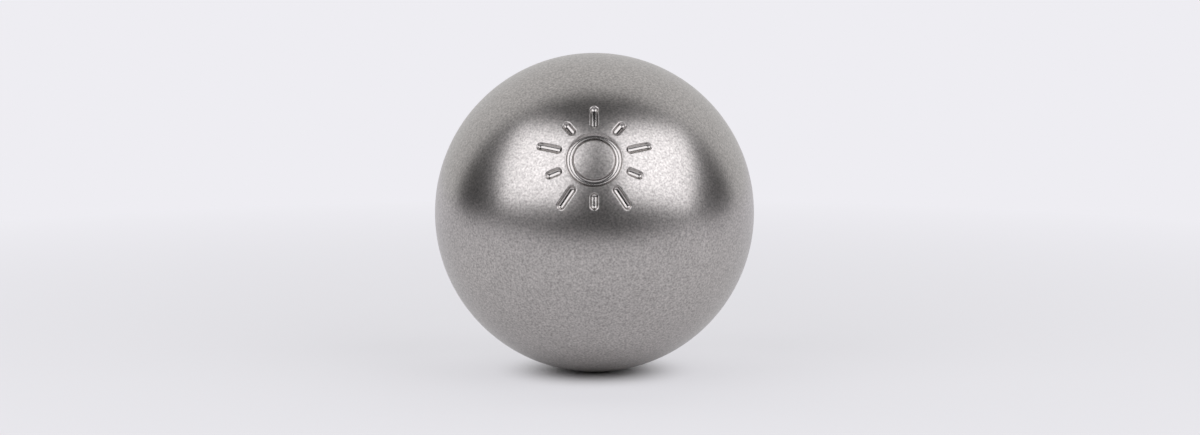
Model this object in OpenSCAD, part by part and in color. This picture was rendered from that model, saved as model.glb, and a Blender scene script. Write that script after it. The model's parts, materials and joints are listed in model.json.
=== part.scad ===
// Petanque ball: a hollow steel ball with a sun engraved on its front.
// Lengths are in millimetres and angles in degrees. The origin is the centre of the ball and +Z is up.
// The sun faces the front, -Y, and looks a little upwards.

/* [Ball] */
// Outside diameter of the ball
ball_d = 74; // [70.5:0.5:80]
// Thickness of the steel shell, which sets the weight of the ball
wall = 6.2; // [5:0.1:8]

/* [Engraved sun] */
// Angle of the middle of the sun above the ball's equator
sun_elevation = 25; // [20:1:60]
// Diameter of the ring, between the middles of its groove
ring_d = 11; // [8:0.5:12]
// Number of long rays, each followed by a short one
ray_pairs = 5; // [3:1:6]
// Uncut steel left between the ring and the rays
ray_gap = 1.3; // [0.8:0.1:2]
// Way that the cutter travels along a long ray
long_travel = 4.2; // [3:0.1:5]
// Way that the cutter travels along a short ray
short_travel = 2; // [1:0.1:3]

/* [Engraving cutter] */
// Diameter of the ball-nosed cutter
cutter_d = 1.8; // [1.6:0.1:2.4]
// Depth of the grooves
groove_depth = 0.75; // [0.5:0.05:0.8]
// Width of the broken edge on each side of a groove
edge_break = 0.25; // [0.1:0.05:0.3]

/* [Hidden] */

ball_r = ball_d / 2;
cutter_r = cutter_d / 2;
// Height of the cutter's centre above the surface
cutter_height = cutter_r - groove_depth;
groove_w = 2 * sqrt(pow(cutter_r, 2) - pow(cutter_height, 2));
// Angle round the cutter from its lowest point to the surface
nose_angle = acos(cutter_height / cutter_r);
// From the middle of a groove to the outside of its broken edge
edge_w = groove_w / 2 + edge_break;
// The broken edge aims halfway down the cutter's nose, at a point this far inside it
aim_inside = 0.05;
// Every cut runs on this far above the surface
cut_over = groove_depth / 3;
// The cutter dwells at each end of a ray, and cuts this much deeper and wider there
end_dwell = 0.02;
// The broken edge is this much wider at each end of a ray
end_edge = 0.06;
ray_start = ring_d / 2 + groove_w + ray_gap;
ray_count = 2 * ray_pairs;
$fn = 96;

// The angle at the ball's centre that belongs to a length along its surface
function surface_angle(length) = length / ball_r * 180 / PI;

// Section of a groove. The surface of the ball is at Y = 0, and +Y points out of the steel.
module groove_section(nose_extra = 0, edge_extra = 0) {
    nose_r = cutter_r + nose_extra;
    half_w = edge_w + edge_extra;
    aim_x = (nose_r - aim_inside) * sin(nose_angle / 2);
    aim_y = cutter_height - (nose_r - aim_inside) * cos(nose_angle / 2);
    top_y = cut_over + nose_extra;
    top_x = half_w + (half_w - aim_x) * top_y / -aim_y;
    // The cutter's round nose, up to the surface
    intersection() {
        translate([0, cutter_height]) circle(r = nose_r);
        translate([-cutter_d, -2 * cutter_d]) square(2 * cutter_d);
    }
    // The two broken edges, which run on in a straight line above the surface
    polygon([[-aim_x, aim_y], [aim_x, aim_y], [top_x, top_y], [-top_x, top_y]]);
}

// The pit that the cutter leaves where it enters or leaves the steel, which is on the +Z axis here
module groove_end() {
    translate([0, 0, ball_r]) rotate_extrude() intersection() {
        groove_section(end_dwell, end_edge);
        translate([0, -cutter_d]) square(2 * cutter_d);
    }
}

// The ring round the sun's middle, which is on the +Z axis here
module ring_groove() {
    rotate_extrude() rotate(-surface_angle(ring_d / 2)) translate([0, ball_r]) groove_section();
}

// A ray that runs away from the sun's middle in the direction of +Y
module ray_groove(travel) {
    near = surface_angle(ray_start);
    far = surface_angle(ray_start + travel);
    rotate([0, 90, 0]) rotate([0, 0, 180 - far]) rotate_extrude(angle = far - near)
        translate([ball_r, 0]) rotate(-90) groove_section();
    // Each pit is turned so that its own seam lies away from the ray
    rotate([-near, 0, 0]) rotate([0, 0, -90]) groove_end();
    rotate([-far, 0, 0]) rotate([0, 0, 90]) groove_end();
}

module sun() {
    ring_groove();
    for (i = [0 : ray_count - 1])
        rotate([0, 0, i * 360 / ray_count]) ray_groove(i % 2 == 0 ? long_travel : short_travel);
}

module ball() {
    color("darkgray") difference() {
        sphere(d = ball_d, $fn = 180);
        sphere(d = ball_d - 2 * wall);
        rotate([90 - sun_elevation, 0, 0]) sun();
    }
}

ball();
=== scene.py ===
# %% [markdown]
# # A petanque ball of blasted steel
#
# The real thing is a hollow steel ball that fits the palm. Two pressed halves are welded together and turned
# true, a sun is engraved in one side with a ball-nosed cutter, and the whole skin is blasted to a fine satin.
#
# The imported model comes first, because it fixes every size. Nothing below may make the ball larger or
# smaller.

# %% Load the imported model
import json
import math

import bpy
import numpy as np
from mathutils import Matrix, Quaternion, Vector


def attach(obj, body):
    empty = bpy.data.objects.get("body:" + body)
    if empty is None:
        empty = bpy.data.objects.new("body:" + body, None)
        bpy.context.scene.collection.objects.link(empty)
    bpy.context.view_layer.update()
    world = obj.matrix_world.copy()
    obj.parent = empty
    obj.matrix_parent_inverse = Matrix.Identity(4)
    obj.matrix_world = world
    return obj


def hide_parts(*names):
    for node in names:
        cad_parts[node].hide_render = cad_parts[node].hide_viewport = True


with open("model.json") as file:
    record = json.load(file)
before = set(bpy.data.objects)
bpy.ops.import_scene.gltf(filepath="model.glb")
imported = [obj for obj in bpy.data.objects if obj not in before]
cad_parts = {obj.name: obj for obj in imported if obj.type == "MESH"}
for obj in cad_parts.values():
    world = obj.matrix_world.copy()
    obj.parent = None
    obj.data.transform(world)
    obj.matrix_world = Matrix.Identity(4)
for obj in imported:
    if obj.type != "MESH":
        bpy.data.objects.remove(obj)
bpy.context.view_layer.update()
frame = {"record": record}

# %% [markdown]
# ## Driving sizes
#
# The record holds one mount, the lowest point of the ball, and its height gives the radius. The sizes of the
# wall and of the engraving are those of the solid model, in metres.

# %% Sizes of the ball and its engraving
ground_point = next(mount for mount in frame["record"]["mounts"] if mount["name"] == "ground_point")
ball_r = -ground_point["pos_m"][2]
wall = 0.0062

sun_elevation = math.radians(25)
ring_r = 0.0055
ray_pairs = 5
ray_gap = 0.0013
long_travel = 0.0042
short_travel = 0.0020

cutter_r = 0.0009
groove_depth = 0.00075
edge_break = 0.00025
print(f"ball {2000 * ball_r:.1f} mm across")

# %% [markdown]
# ## The section of a groove
#
# A ball-nosed cutter leaves a groove with a round bottom. Its two sharp edges are rounded over afterwards, so
# that they are kind to the hand. A boolean cut with a bevel could make this, but the cut would leave long
# thin faces all over the sphere. A formula for the depth at any distance from the middle of the groove is
# simpler and gives clean faces.
#
# The rounded lip is an arc that touches two others: the skin, at edge_w from the middle of the groove, and
# the cutter's nose, at meet_w. Where two arcs touch, their centres lie as far apart as both radii together,
# and that gives the radius of the lip.

# %% Depth of the cut
cutter_height = cutter_r - groove_depth
groove_w = 2 * math.sqrt(cutter_r**2 - cutter_height**2)
edge_w = groove_w / 2 + edge_break
lip_r = edge_break * (groove_w + edge_break) / (2 * groove_depth)
meet_w = edge_w * cutter_r / (cutter_r + lip_r)


def cut_depth(distance):
    """How deep the steel is cut at a distance from the middle of a groove.

    Up to meet_w it is the cutter's round nose, sqrt(cutter_r^2 - distance^2) - cutter_height.
    From there to edge_w it is the lip, lip_r - sqrt(lip_r^2 - (edge_w - distance)^2), and then nothing.
    """
    nose = np.sqrt(np.maximum(cutter_r**2 - distance**2, 0)) - cutter_height
    from_edge = np.clip(edge_w - distance, 0, lip_r)
    lip = lip_r - np.sqrt(lip_r**2 - from_edge**2)
    return np.where(distance < meet_w, nose, lip)


print(f"groove {2000 * edge_w:.2f} mm wide over its edges, {1000 * cut_depth(np.array(0.0)):.2f} mm deep")

# %% [markdown]
# ## The lines of the grid
#
# The ball is one grid wrapped round the axis through the middle of the sun. Its rows are circles round that
# axis and its columns run from the sun to the far side, like the lines of a globe.
#
# The rows are close together where the grooves are, closest of all on the ring, and wider elsewhere. Each ray
# has a sector of its own, in which most columns run alongside the ray instead of fanning out, so that its
# long edges follow the grid.

# %% Where the grooves lie, as distances from the middle of the sun along the surface
margin = edge_w + 0.0001
ring_inside = ring_r - margin
ring_outside = ring_r + margin
ray_start = ring_r + groove_w + ray_gap
rays_inside = ray_start - margin
rays_outside = ray_start + long_travel + margin
print(f"the rays reach {1000 * rays_outside:.1f} mm from the middle of the sun")

# %% Rows
middle_step = 0.0007
ring_step = 0.00007
gap_step = 0.00015
ray_step = 0.00009
rows_of_the_rest = 56
widening = 1.4


def even_rows(start, end, step):
    """Evenly spaced rows after start, up to and with end, about a step apart."""
    return np.linspace(start, end, 1 + round((end - start) / step))[1:]


rest_of_way = math.pi * ball_r - rays_outside
rows = np.concatenate([
    even_rows(0, ring_inside, middle_step),
    even_rows(ring_inside, ring_outside, ring_step),
    even_rows(ring_outside, rays_inside, gap_step),
    even_rows(rays_inside, rays_outside, ray_step),
    rays_outside + rest_of_way * np.linspace(0, 1, 1 + rows_of_the_rest)[1:-1] ** widening,
])
print(len(rows), "rows")

# %% Columns: bearings from the middle line of their own sector
sector_columns = 54
beside_share = 0.7
ray_count = 2 * ray_pairs
half_sector = math.pi / ray_count
column = np.arange(sector_columns * ray_count)
sector = column // sector_columns
across_sector = 2 * (column % sector_columns) / sector_columns - 1


def column_bearing(row):
    """Bearing of each column from its sector's middle line, on a row this far from the sun's middle.

    The inner columns keep their distance from the middle line, so their bearing is
    arcsin(sin(distance / ball_r) / sin(row / ball_r)). The outer ones share the rest of the sector evenly.
    """
    row_angle = np.clip(row, rays_inside, rays_outside) / ball_r
    beside = np.clip(across_sector / beside_share, -1, 1) * margin
    bearing = np.arcsin(np.sin(beside / ball_r) / np.sin(row_angle))
    outer = np.clip((np.abs(across_sector) - beside_share) / (1 - beside_share), 0, 1)
    return bearing + np.sign(across_sector) * outer * (half_sector - np.abs(bearing))


print(len(column), "columns")

# %% [markdown]
# ## The surface of the ball
#
# A point of the grid is known by its angle from the sun's axis and its bearing round that axis. Its distance
# to the nearest groove gives the depth of the cut, and that is taken off the radius.

# %% Points of the surface
sun_axis = np.array([0, -math.cos(sun_elevation), math.sin(sun_elevation)])
sun_up = np.array([0, math.sin(sun_elevation), math.cos(sun_elevation)])
sun_right = np.array([1, 0, 0])


def direction(angle, bearing):
    """Unit vector at an angle from the sun's axis, on a bearing that turns from up towards the right.

    It is cos(angle) * axis + sin(angle) * (cos(bearing) * up + sin(bearing) * right).
    """
    sideways = np.cos(bearing)[..., None] * sun_up + np.sin(bearing)[..., None] * sun_right
    return np.cos(angle)[..., None] * sun_axis + np.sin(angle)[..., None] * sideways


def groove_distance(angle, bearing):
    """Distance along the surface to the nearest groove, for a bearing counted from the sector's middle line.

    The ring lies ring_r from the sun's middle. The ray is a stretch of the middle line, so the distance to it
    is the length of (across, along), where across = arcsin(sin(angle) * sin(bearing)) and along is measured
    past the nearest end of the ray.
    """
    travel = np.where(sector % 2 == 0, long_travel, short_travel)
    across = ball_r * np.arcsin(np.sin(angle) * np.sin(bearing))
    along = ball_r * np.arctan2(np.sin(angle) * np.cos(bearing), np.cos(angle))
    past_end = along - np.clip(along, ray_start, ray_start + travel)
    return np.minimum(np.abs(ball_r * angle - ring_r), np.hypot(across, past_end))


row_angle = np.tile(rows[:, None] / ball_r, (1, len(column)))
own_bearing = column_bearing(rows[:, None])
depth = cut_depth(groove_distance(row_angle, own_bearing))
full_bearing = own_bearing + 2 * half_sector * sector
skin = direction(row_angle, full_bearing) * (ball_r - depth)[..., None]
print(f"deepest cut {1000 * depth.max():.3f} mm")

# %% [markdown]
# ## From grid to mesh
#
# A grid that is wrapped round an axis is closed with one point at each pole. The ball is hollow, so a second
# and much coarser grid makes the inner face of its wall. Its faces look into the hollow, away from the steel.
#
# The volume tells whether the faces look the right way. It is positive, and close to that of the solid model,
# only when every face of both grids looks away from the steel.

# %% Faces of a wrapped grid


def wrapped_grid(points, first_pole, last_pole, outward=True, start=0):
    """Vertices and faces of a closed surface: rows of points that wrap round, between two poles.

    The point in row i and column j has number start + i * columns + j, and the two poles come last. Each face
    joins a point to the next column, counted round and round, and to the next row. Columns turn clockwise as
    seen from the first pole, so the corners run from column to column first, which makes a face look outward.
    """
    row_count, column_count = points.shape[:2]
    number = start + np.arange(row_count * column_count).reshape(row_count, column_count)
    beside = np.roll(number, -1, axis=1)
    quads = np.stack([number[:-1], beside[:-1], beside[1:], number[1:]], axis=-1).reshape(-1, 4)
    first = np.full(column_count, start + number.size)
    first_fan = np.stack([first, beside[0], number[0]], axis=-1)
    last_fan = np.stack([first + 1, number[-1], beside[-1]], axis=-1)
    faces = [*quads.tolist(), *first_fan.tolist(), *last_fan.tolist()]
    if not outward:
        faces = [face[::-1] for face in faces]
    return np.concatenate([points.reshape(-1, 3), [first_pole, last_pole]]), faces


def enclosed_volume(mesh):
    """Volume of the steel: the sum over triangles of the triple product of their corners, over six."""
    mesh.calc_loop_triangles()
    corners = np.array([triangle.vertices for triangle in mesh.loop_triangles])
    places = np.array([vertex.co for vertex in mesh.vertices])[corners]
    return np.einsum("ij,ij->", places[:, 0], np.cross(places[:, 1], places[:, 2])) / 6


# %% Mesh of the ball
inner_rows = 32
inner_columns = 64
inner_r = ball_r - wall
inner_angle, inner_bearing = np.meshgrid(
    np.linspace(0, math.pi, 1 + inner_rows)[1:-1],
    np.linspace(0, 2 * math.pi, 1 + inner_columns)[:-1],
    indexing="ij",
)
inner_points = direction(inner_angle, inner_bearing) * inner_r

outside, outside_faces = wrapped_grid(skin, sun_axis * ball_r, -sun_axis * ball_r)
inside, inside_faces = wrapped_grid(
    inner_points, sun_axis * inner_r, -sun_axis * inner_r, outward=False, start=len(outside)
)
ball_mesh = bpy.data.meshes.new("engraved_ball")
ball_mesh.from_pydata(np.concatenate([outside, inside]).tolist(), [], outside_faces + inside_faces)
ball_mesh.shade_smooth()
ball = bpy.data.objects.new("engraved_ball", ball_mesh)
bpy.context.scene.collection.objects.link(ball)
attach(ball, "root")
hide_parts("ball")
print(f"{1e6 * enclosed_volume(ball_mesh):.2f} cm3 of steel in", len(ball_mesh.loop_triangles), "triangles")

# %% Mark how far each point lies inside a groove
groove_mark = ball_mesh.attributes.new("groove", "FLOAT", "POINT")
mark = np.zeros(len(ball_mesh.vertices))
mark[: depth.size] = np.clip(depth.ravel() / groove_depth, 0, 1)
groove_mark.data.foreach_set("value", mark)
print(int((mark > 0).sum()), "points lie in grooves")

# %% [markdown]
# ## Blasted steel
#
# Glass beads leave a skin of tiny dimples. They are under half a millimetre across, which is too fine to
# model, so they are a pattern in the material: they tilt the surface a little, and a painted shade darkens
# the colour a little in their hollows, where light would be trapped, and lightens it on their tops. The
# cutter leaves the grooves smoother than the skin.
#
# The shine is that of bare metal, so there is no coat and no paint under it. Its roughness decides how softly
# the lamps are mirrored, and it changes a little from patch to patch, as the hand that blasts the ball does.

# %% Helpers for materials


def new_material(name):
    """An empty material, with its node tree and its output node."""
    material = bpy.data.materials.new(name)
    material.use_nodes = True
    tree = material.node_tree
    tree.nodes.clear()
    return material, tree, tree.nodes.new("ShaderNodeOutputMaterial")


def add_node(tree, kind, settings=(), **inputs):
    """A node of one kind, with its settings and the values or links of its inputs.

    An input goes by its name, or by an underscore and its number where several share a name.
    """
    node = tree.nodes.new("ShaderNode" + kind)
    for name, value in dict(settings).items():
        setattr(node, name, value)
    for name, value in inputs.items():
        socket = node.inputs[int(name[1:])] if name[1:].isdigit() else node.inputs[name.replace("_", " ")]
        if isinstance(value, bpy.types.NodeSocket):
            tree.links.new(value, socket)
        else:
            socket.default_value = value
    return node


def remap(tree, value, low, high, to_low, to_high, smooth=False):
    """The value, carried from the range low to high over to the range to_low to to_high."""
    kind = {"interpolation_type": "SMOOTHSTEP" if smooth else "LINEAR"}
    node = add_node(
        tree, "MapRange", kind, Value=value, From_Min=low, From_Max=high, To_Min=to_low, To_Max=to_high
    )
    return node.outputs["Result"]


def mix(tree, share, first, second):
    """A number that is the first at a share of 0, the second at a share of 1, and in between elsewhere."""
    return add_node(tree, "Mix", _0=share, _2=first, _3=second).outputs[0]


def math_node(tree, operation, first, second):
    """Arithmetic on two numbers."""
    return add_node(tree, "Math", {"operation": operation}, _0=first, _1=second).outputs["Value"]


def vector_node(tree, operation, first, second=(0, 0, 0), output="Value"):
    """Arithmetic on one or two vectors. The output is Value for a number and Vector for a vector."""
    return add_node(tree, "VectorMath", {"operation": operation}, _0=first, _1=second).outputs[output]


# %% Material of the ball
steel_colour = (0.447, 0.425, 0.413)
skin_roughness = 0.308
roughness_change = 0.01
groove_roughness = 0.22

dimple = 0.00045
dimple_depth = 0.00003
dimple_strength = 0.3
# How much painted shade the dimples give: darker colour in their hollows, lighter on their tops.
painted_dimple_shade = 0.31

patch = 0.011
patch_shade = 0.015

steel, tree, output = new_material("blasted_steel")
place = add_node(tree, "TexCoord").outputs["Object"]
groove = add_node(tree, "Attribute", {"attribute_name": "groove"}).outputs["Fac"]
grain = add_node(tree, "TexNoise", Vector=place, Scale=1 / dimple, Detail=1.0, Roughness=0.5).outputs["Fac"]
grain = mix(tree, groove, grain, 0.5)
patches = add_node(tree, "TexNoise", Vector=place, Scale=1 / patch, Detail=3.0).outputs["Fac"]

rough_low = skin_roughness - roughness_change
rough_high = skin_roughness + roughness_change
roughness = mix(tree, groove, remap(tree, patches, 0.3, 0.7, rough_low, rough_high), groove_roughness)
# Painted shade: the dimple pattern darkens the colour where it is low, in the hollows, and lightens it on the
# tops. The patches add a random tone.
shade = remap(tree, grain, 0.25, 0.75, 1 - painted_dimple_shade, 1 + painted_dimple_shade)
shade = math_node(tree, "MULTIPLY", shade, remap(tree, patches, 0.3, 0.7, 1 - patch_shade, 1 + patch_shade))
colour = add_node(tree, "VectorMath", {"operation": "SCALE"}, _0=steel_colour, Scale=shade).outputs["Vector"]
tilt = add_node(tree, "Bump", Strength=dimple_strength, Distance=dimple_depth, Height=grain).outputs["Normal"]
surface = add_node(tree, "BsdfPrincipled", Base_Color=colour, Metallic=1.0, Roughness=roughness, Normal=tilt)
tree.links.new(surface.outputs["BSDF"], output.inputs["Surface"])
ball_mesh.materials.append(steel)
print("material", steel.name, "with dimples of", 1000 * dimple, "mm")

# %% [markdown]
# ## The studio
#
# A steel ball shows the whole room it stands in, so the room is built with care. Two large softboxes stand in
# front, left and right, and a pale backdrop behind. The rest of the room is dark. The dark is what gives the
# steel its depth: it stands as a band between the bright floor and the softboxes.
#
# ## The floor
#
# The ball stands on a smooth pale board. Paint alone would turn grey away from the lamps, and a glow alone
# would take no shadow, so the board is a mix of both. Far off there is only glow, and the board runs into the
# backdrop without an edge. Towards the ball the paint comes in, and under the ball it is alone, with the full
# contact shadow. In between, the glow is painted light that thins the ball's shadow. The glow is also a
# little dimmer round a point just behind the ball, which is a painted shadow.
#
# The glow comes in closer to the ball at the left and right than in front and behind, so the bare paint is an
# ellipse and the shadow is painted narrow from left to right. The steel also gets less of the glow than the
# eye
# does. That is a painted sheen: the board looks brighter at the camera's flat angle than from above, which is
# how the ball sees it.

# %% Floor board
pale = (0.855, 0.847, 0.888, 1)
floor_z = ground_point["pos_m"][2]
half_floor = 15.0


def flat_card(name, corners, faces):
    """A stage object of flat faces."""
    mesh = bpy.data.meshes.new(name)
    mesh.from_pydata(corners, [], faces)
    card = bpy.data.objects.new(name, mesh)
    bpy.context.scene.collection.objects.link(card)
    return card


floor_corners = [(x * half_floor, y * half_floor, floor_z) for x, y in ((-1, -1), (1, -1), (1, 1), (-1, 1))]
floor = flat_card("floor", floor_corners, [(0, 1, 2, 3)])
print("floor at", floor_z)

# %% Paint and glow of the floor
paint_colour = (0.80, 0.797, 0.80, 1)
# The glow near the ball is painted light that thins the ball's shadow. Squeezing the distance sideways paints
# that shadow narrower from left to right.
paint_squeeze = (1.22, 1, 0)
bare_paint_end = 0.009
near_glow_start = 0.030
near_glow = 0.75
# The steel gets less of the near glow than the eye does: a painted sheen on the board.
near_glow_for_steel = 0.55 * near_glow

# The glow is dimmer near the ball, and darkest round a point just behind it: a painted shadow.
behind_ball = (0, 0.05, floor_z)
far_glow_start = 0.065
far_glow_full = 0.32
painted_shadow_glow = 0.87

floor_paint, tree, output = new_material("floor")
place = add_node(tree, "TexCoord").outputs["Object"]
path = add_node(tree, "LightPath")
straight = math_node(tree, "ADD", path.outputs["Is Camera Ray"], path.outputs["Is Transmission Ray"])
seen = math_node(tree, "ADD", straight, path.outputs["Is Glossy Ray"])

squeezed = vector_node(tree, "MULTIPLY", place, paint_squeeze, output="Vector")
from_ball = vector_node(tree, "LENGTH", squeezed)
# Near the ball the glow is painted light over the real shadow, and glossy rays get less of it, which is a
# painted sheen.
out_of_paint = remap(tree, from_ball, bare_paint_end, near_glow_start, 0, 1, smooth=True)
near = math_node(
    tree, "MULTIPLY", out_of_paint, remap(tree, straight, 0, 1, near_glow_for_steel, near_glow)
)
far = remap(tree, vector_node(tree, "DISTANCE", place, behind_ball), far_glow_start, far_glow_full, 0, 1)
share = math_node(tree, "MULTIPLY", seen, mix(tree, far, near, 1.0))

paint = add_node(tree, "BsdfDiffuse", Color=paint_colour)
# The glow's strength falls round the point behind the ball: a painted shadow.
glow = add_node(tree, "Emission", Color=pale, Strength=remap(tree, far, 0, 1, painted_shadow_glow, 1))
board = add_node(tree, "MixShader", _0=share, _1=paint.outputs[0], _2=glow.outputs[0])
tree.links.new(board.outputs[0], output.inputs["Surface"])
floor.data.materials.append(floor_paint)
print("material", floor_paint.name)

# %% [markdown]
# ## The softboxes
#
# Each softbox is a square frame of cloth with a lamp behind it, and its mirror image is a bright patch on the
# front of the ball. Its size and place set the patch, and its lean turns the patch's corners. An area lamp
# does this without a mesh. The cloth gives daylight, which is a shade bluer than the steel's own warm grey.

# %% Softboxes
lamp_distance = 0.9
daylight = (1, 1, 1.03)


def softbox(name, bearing, elevation, width, height, lean, radiance):
    """A soft rectangular lamp that faces the ball, at a bearing from straight in front towards the right.

    Its power is radiance * pi * width * height, so that every softbox of one radiance looks equally bright.
    """
    lamp = bpy.data.lights.new(name, "AREA")
    lamp.shape = "RECTANGLE"
    lamp.size = width
    lamp.size_y = height
    lamp.energy = radiance * math.pi * width * height
    lamp.color = daylight
    box = bpy.data.objects.new(name, lamp)
    level = math.cos(math.radians(elevation))
    towards = Vector((
        level * math.sin(math.radians(bearing)),
        -level * math.cos(math.radians(bearing)),
        math.sin(math.radians(elevation)),
    ))
    box.location = lamp_distance * towards
    facing_ball = towards.to_track_quat("Z", "Y")
    box.rotation_euler = (facing_ball @ Quaternion((0, 0, 1), math.radians(lean))).to_euler()
    box.visible_camera = False
    bpy.context.scene.collection.objects.link(box)
    print(name, f"{lamp.energy:.2f} W")


softbox("left_softbox", bearing=-46.9, elevation=35.9, width=0.94, height=0.89, lean=8, radiance=2.08)
softbox("right_softbox", bearing=53.5, elevation=35.3, width=1.00, height=0.89, lean=-18, radiance=2.13)

# %% [markdown]
# ## The dark strip
#
# The table ends in front of the ball and on both sides, and the dark room beyond it makes the band across the
# ball's middle. A floor with an edge would show that edge in every view. So the floor goes on, and a low dark
# strip stands along the three edges instead, where only the steel can see it.

# %% Dark strip: the places of its corners, with the height of its top above the ball's middle
room_level = 0.01
strip_corners = [(-0.71, 0.20, 0.05), (-0.71, -0.20, 0.01), (0.75, -0.20, 0), (0.75, 0.20, 0)]
strip_feet = [(x, y, floor_z) for x, y, top in strip_corners]
strip_faces = [(i, i + 1, i + 5, i + 4) for i in range(3)]
dark_strip = flat_card("dark_strip", strip_feet + strip_corners, strip_faces)
dark_strip.visible_camera = False
dark_strip.visible_diffuse = False
dark_strip.visible_shadow = False
dark_strip.visible_transmission = False

dark_paint, tree, output = new_material("dark_strip")
dim = add_node(tree, "Emission", Color=(1, 1, 1, 1), Strength=room_level)
tree.links.new(dim.outputs[0], output.inputs["Surface"])
dark_strip.data.materials.append(dark_paint)
print("dark strip with", len(strip_corners), "corners")

# %% [markdown]
# ## The backdrop
#
# The backdrop is the world itself. The steel sees a round pale field behind the ball, and a nearly dark room
# outside it. The eye sees the same pale colour all round, so that no edge shows behind the ball. The floor's
# paint gets more light from the field than the steel sees in it, which lifts the board close to the ball and
# leaves the steel as it is.

# %% World
backdrop_level = 0.812
boost_for_paint = 1.69
backdrop_elevation = math.radians(18.6)
backdrop_reach = math.radians(61.9)
backdrop_fade = math.radians(1)

world = bpy.data.worlds.new("studio")
bpy.context.scene.world = world
world.use_nodes = True
tree = world.node_tree
tree.nodes.clear()
sight = add_node(tree, "TexCoord").outputs["Generated"]
backdrop_middle = (0, math.cos(backdrop_elevation), math.sin(backdrop_elevation))
facing = vector_node(tree, "DOT_PRODUCT", sight, backdrop_middle)
outer_edge = math.cos(backdrop_reach + backdrop_fade)
inner_edge = math.cos(backdrop_reach - backdrop_fade)
field = remap(tree, facing, outer_edge, inner_edge, room_level, backdrop_level, smooth=True)

path = add_node(tree, "LightPath")
camera_ray = path.outputs["Is Camera Ray"]
boost = remap(tree, path.outputs["Is Diffuse Ray"], 0, 1, 1, boost_for_paint)
level = mix(tree, camera_ray, math_node(tree, "MULTIPLY", field, boost), 1.0)
tone = add_node(tree, "Mix", {"data_type": "RGBA"}, _0=camera_ray, _6=(1, 1, 1, 1), _7=pale).outputs[2]
sky = add_node(tree, "Background", Color=tone, Strength=level)
tree.links.new(sky.outputs[0], add_node(tree, "OutputWorld").inputs["Surface"])
print("world", world.name)

# %% [markdown]
# ## The camera
#
# A long lens a little above the ball, so that it looks nearly straight on and its outline stays round.

# %% Camera and view
camera_distance = 0.774
camera_elevation = math.radians(6.5)
aim = Vector((0.00128, 0, -0.0012))
lens = bpy.data.cameras.new("camera")
lens.lens = 100
lens.sensor_width = 36
camera = bpy.data.objects.new("camera", lens)
backwards = Vector((0, -math.cos(camera_elevation), math.sin(camera_elevation)))
camera.location = aim + camera_distance * backwards
camera.rotation_euler = backwards.to_track_quat("Z", "Y").to_euler()
bpy.context.scene.collection.objects.link(camera)
bpy.context.scene.camera = camera
bpy.context.scene.view_settings.view_transform = "Standard"
print(f"camera {camera_distance:.3f} m from its aim")
